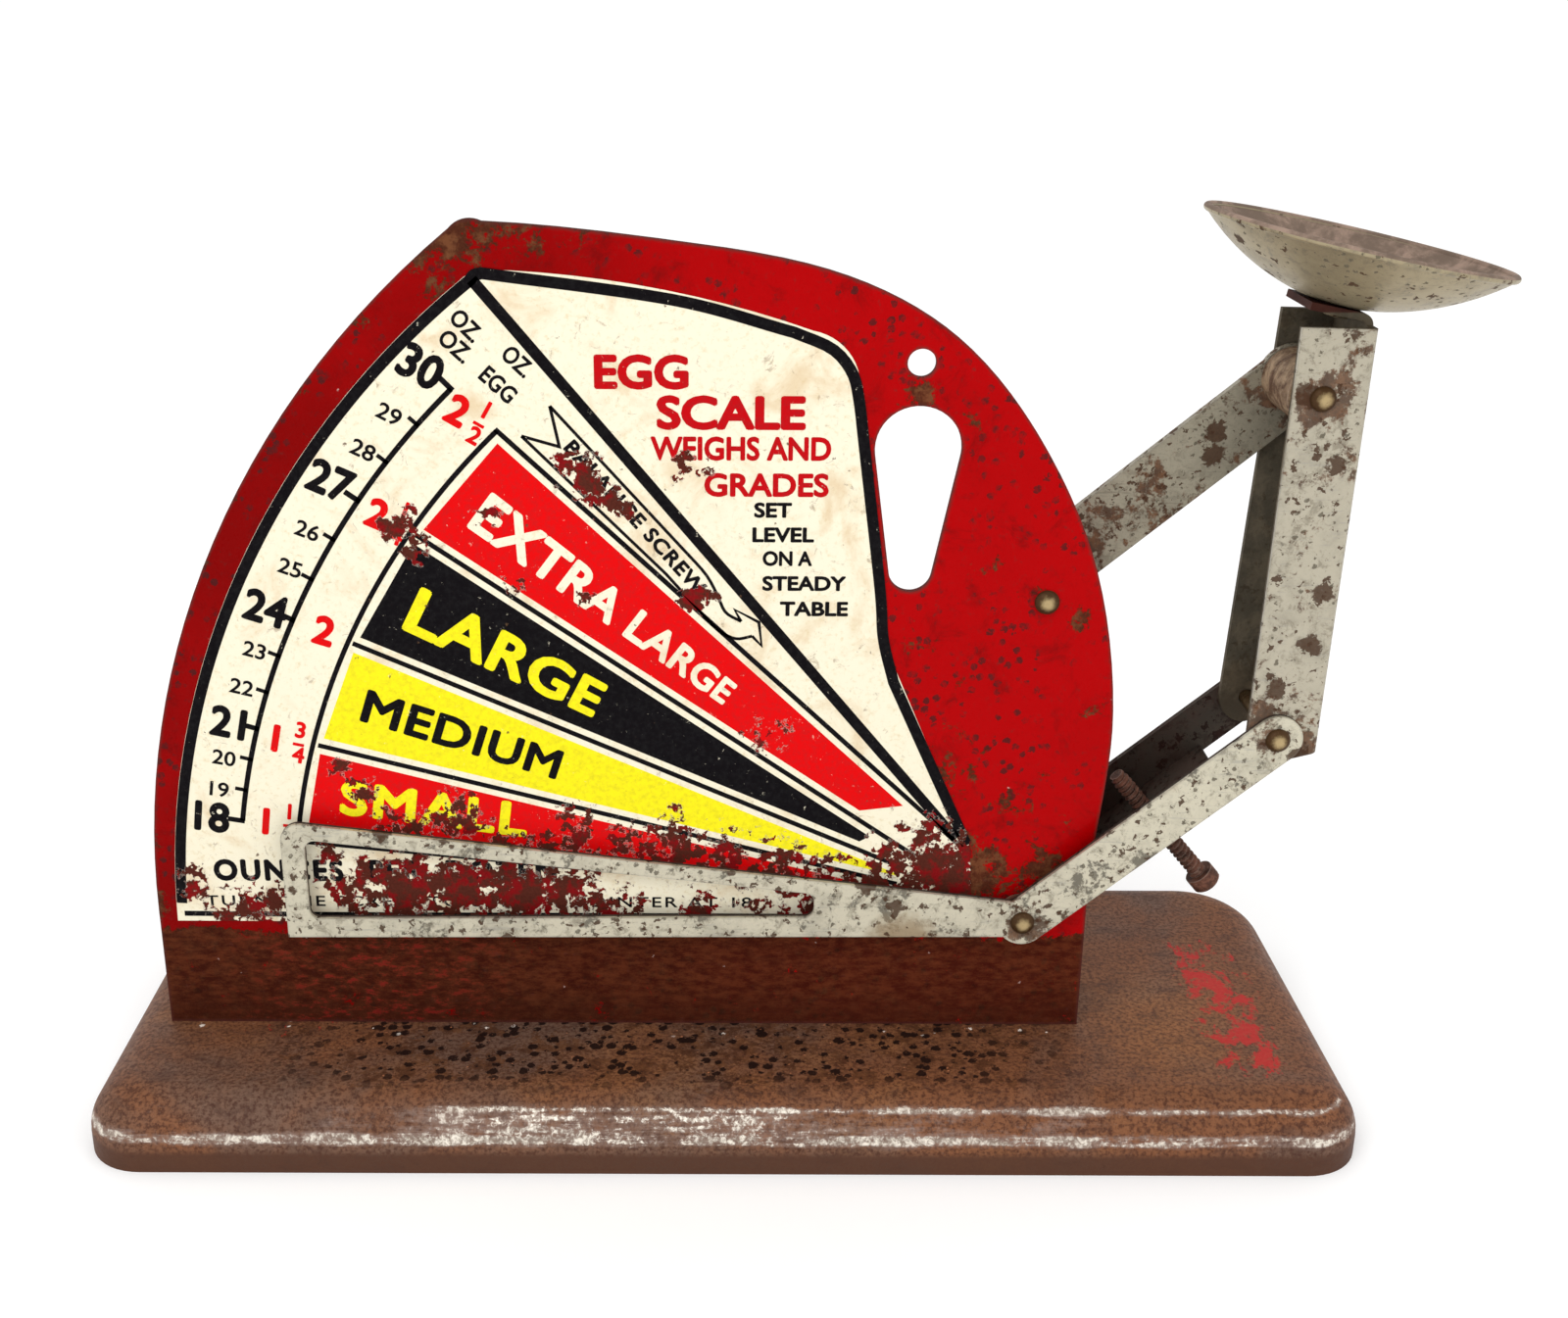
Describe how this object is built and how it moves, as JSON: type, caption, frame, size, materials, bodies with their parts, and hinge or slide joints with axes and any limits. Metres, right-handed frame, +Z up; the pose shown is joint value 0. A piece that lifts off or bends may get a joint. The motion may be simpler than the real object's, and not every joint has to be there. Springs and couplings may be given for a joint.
{
  "type": "bench scale",
  "caption": "Small sheet-metal egg scale: a dial plate on a pressed tray, with a parallel linkage that keeps the egg pan level and turns a long pointer over the dial.",
  "frame": {"origin": "centre of the pressed tray's footprint, on the table", "axes": "+X runs to the right along the dial, towards the egg pan; +Y to the back; +Z up. The dial faces -Y."},
  "size_m": [0.1901, 0.069, 0.1275],
  "materials": {
    "tray_enamel": "worn and rusted",
    "dial_enamel": "gloss",
    "label": "printed",
    "plated_steel": "tarnished",
    "rusted_steel": "rusted",
    "brass": "tarnished"
  },
  "bodies": {
    "frame": {"base_tray": "tray_enamel", "dial_plate": "dial_enamel", "dial_label": "label", "rear_bracket": "rusted_steel", "dial_foot_rivets": "rusted_steel", "bracket_foot_rivets": "rusted_steel", "lever_pivot_pin": "brass", "lever_front_washer": "rusted_steel", "lever_pivot_tube": "rusted_steel", "link_pivot_pin": "brass", "link_pivot_tube": "rusted_steel", "link_rear_washer": "rusted_steel"},
    "lever": {"pointer_lever": "plated_steel", "post_foot_pin": "brass"},
    "link": {"upper_link": "plated_steel", "counterweight_front": "rusted_steel", "counterweight_rear": "rusted_steel", "counterweight_rivets": "rusted_steel"},
    "post": {"pan_post": "plated_steel", "post_head_pin": "brass", "post_head_tube": "rusted_steel", "post_head_washer": "rusted_steel", "egg_pan": "plated_steel", "pan_rivet": "rusted_steel"},
    "screw": {"balance_screw": "rusted_steel"}
  },
  "joints": [
    {"name": "lever_pivot", "type": "hinge", "parent": "frame", "child": "lever", "pos_m": [0.0423, -0.0062, 0.0286], "axis": [0, 1, 0], "range_deg": [0, 38]},
    {"name": "link_pivot", "type": "hinge", "parent": "frame", "child": "link", "pos_m": [0.0432, -0.0004, 0.0758], "axis": [0, 1, 0], "range_deg": [0, 38]},
    {"name": "post_foot_pivot", "type": "hinge", "parent": "lever", "child": "post", "pos_m": [0.07553, -0.0062, 0.05698], "axis": [0, 1, 0], "range_deg": [-38, 0]},
    {"name": "balance_screw_slide", "type": "slide", "parent": "lever", "child": "screw", "axis": [0.6494, 0, -0.7604], "range_m": [-0.008, 0.0008]}
  ],
  "couplings": [
    {"joint": "lever_pivot", "follows": "link_pivot", "ratio": 1},
    {"joint": "post_foot_pivot", "follows": "link_pivot", "ratio": -1}
  ]
}
